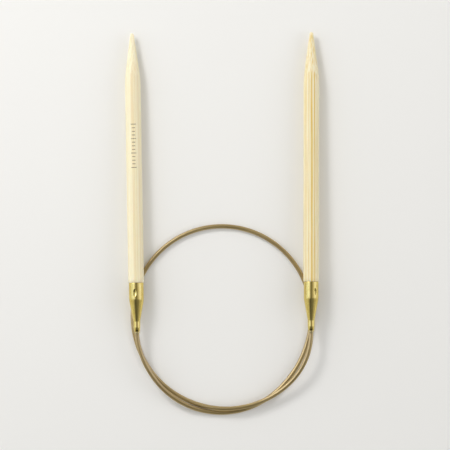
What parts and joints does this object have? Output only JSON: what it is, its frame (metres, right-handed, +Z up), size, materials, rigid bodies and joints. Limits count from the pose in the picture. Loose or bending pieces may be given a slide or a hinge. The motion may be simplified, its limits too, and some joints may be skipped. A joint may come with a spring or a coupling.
{
  "type": "circular knitting needle",
  "caption": "Circular knitting needle: pointed bamboo tips in brass ferrules that turn on the ends of one flexible cord, which lies coiled.",
  "frame": {"origin": "on the table, the plane z = 0, at the centre of the box that the laid-out needle fills", "axes": "+Y along the needles to their points, +X from the left needle to the right one, +Z up from the table"},
  "size_m": [0.0808, 0.1596, 0.0088],
  "materials": {
    "bamboo": "satin, sanded and waxed",
    "brass": "drawn, half polished",
    "cord": "satin"
  },
  "bodies": {
    "coil": {"cord_coil": "cord"},
    "left_link_1": {"left_cord_link_1": "cord"},
    "left_link_2": {"left_cord_link_2": "cord"},
    "left_link_3": {"left_cord_link_3": "cord"},
    "left_link_4": {"left_cord_link_4": "cord"},
    "left_link_5": {"left_cord_link_5": "cord"},
    "left_link_6": {"left_cord_link_6": "cord", "left_cord_collar": "brass", "left_cord_stop": "brass"},
    "left_needle": {"left_ferrule": "brass", "left_bamboo_tip": "bamboo"},
    "right_link_1": {"right_cord_link_1": "cord"},
    "right_link_2": {"right_cord_link_2": "cord"},
    "right_link_3": {"right_cord_link_3": "cord"},
    "right_link_4": {"right_cord_link_4": "cord"},
    "right_link_5": {"right_cord_link_5": "cord"},
    "right_link_6": {"right_cord_link_6": "cord"},
    "right_link_7": {"right_cord_link_7": "cord", "right_cord_collar": "brass", "right_cord_stop": "brass"},
    "right_needle": {"right_ferrule": "brass", "right_bamboo_tip": "bamboo"}
  },
  "joints": [
    {"name": "left_bend_1", "type": "hinge", "parent": "coil", "child": "left_link_1", "pos_m": [-0.00492, -0.07856, 0.00092], "axis": [0, 0, 1], "range_deg": [-2, 12]},
    {"name": "left_bend_2", "type": "hinge", "parent": "left_link_1", "child": "left_link_2", "pos_m": [-0.01265, -0.07659, 0.00206], "axis": [0, 0, 1], "range_deg": [-2, 12]},
    {"name": "left_bend_3", "type": "hinge", "parent": "left_link_2", "child": "left_link_3", "pos_m": [-0.01973, -0.07289, 0.00315], "axis": [0, 0, 1], "range_deg": [-2, 12]},
    {"name": "left_bend_4", "type": "hinge", "parent": "left_link_3", "child": "left_link_4", "pos_m": [-0.02575, -0.06765, 0.00401], "axis": [0, 0, 1], "range_deg": [-2, 12]},
    {"name": "left_bend_5", "type": "hinge", "parent": "left_link_4", "child": "left_link_5", "pos_m": [-0.03046, -0.06121, 0.00503], "axis": [0, 0, 1], "range_deg": [-2, 12]},
    {"name": "left_bend_6", "type": "hinge", "parent": "left_link_5", "child": "left_link_6", "pos_m": [-0.03374, -0.05393, 0.00585], "axis": [0, 0, 1], "range_deg": [-2, 12]},
    {"name": "left_swivel", "type": "hinge", "parent": "left_link_6", "child": "left_needle", "pos_m": [-0.03541, -0.04497, 0.00603], "axis": [-0.0174, 0.9995, -0.027], "continuous": true},
    {"name": "right_bend_1", "type": "hinge", "parent": "coil", "child": "right_link_1", "pos_m": [-0.00187, -0.07699, 0.0023], "axis": [0, 0, -1], "range_deg": [-2, 12]},
    {"name": "right_bend_2", "type": "hinge", "parent": "right_link_1", "child": "right_link_2", "pos_m": [0.00611, -0.07685, 0.00285], "axis": [0, 0, -1], "range_deg": [-2, 12]},
    {"name": "right_bend_3", "type": "hinge", "parent": "right_link_2", "child": "right_link_3", "pos_m": [0.0139, -0.07507, 0.00285], "axis": [0, 0, -1], "range_deg": [-2, 12]},
    {"name": "right_bend_4", "type": "hinge", "parent": "right_link_3", "child": "right_link_4", "pos_m": [0.02115, -0.07173, 0.00315], "axis": [0, 0, -1], "range_deg": [-2, 12]},
    {"name": "right_bend_5", "type": "hinge", "parent": "right_link_4", "child": "right_link_5", "pos_m": [0.02757, -0.06697, 0.00401], "axis": [0, 0, -1], "range_deg": [-2, 12]},
    {"name": "right_bend_6", "type": "hinge", "parent": "right_link_5", "child": "right_link_6", "pos_m": [0.03267, -0.06084, 0.00503], "axis": [0, 0, -1], "range_deg": [-2, 12]},
    {"name": "right_bend_7", "type": "hinge", "parent": "right_link_6", "child": "right_link_7", "pos_m": [0.03589, -0.05355, 0.00585], "axis": [0, 0, -1], "range_deg": [-2, 12]},
    {"name": "right_swivel", "type": "hinge", "parent": "right_link_7", "child": "right_needle", "pos_m": [0.03701, -0.0445, 0.00603], "axis": [0.0017, 0.9996, -0.027], "continuous": true}
  ]
}
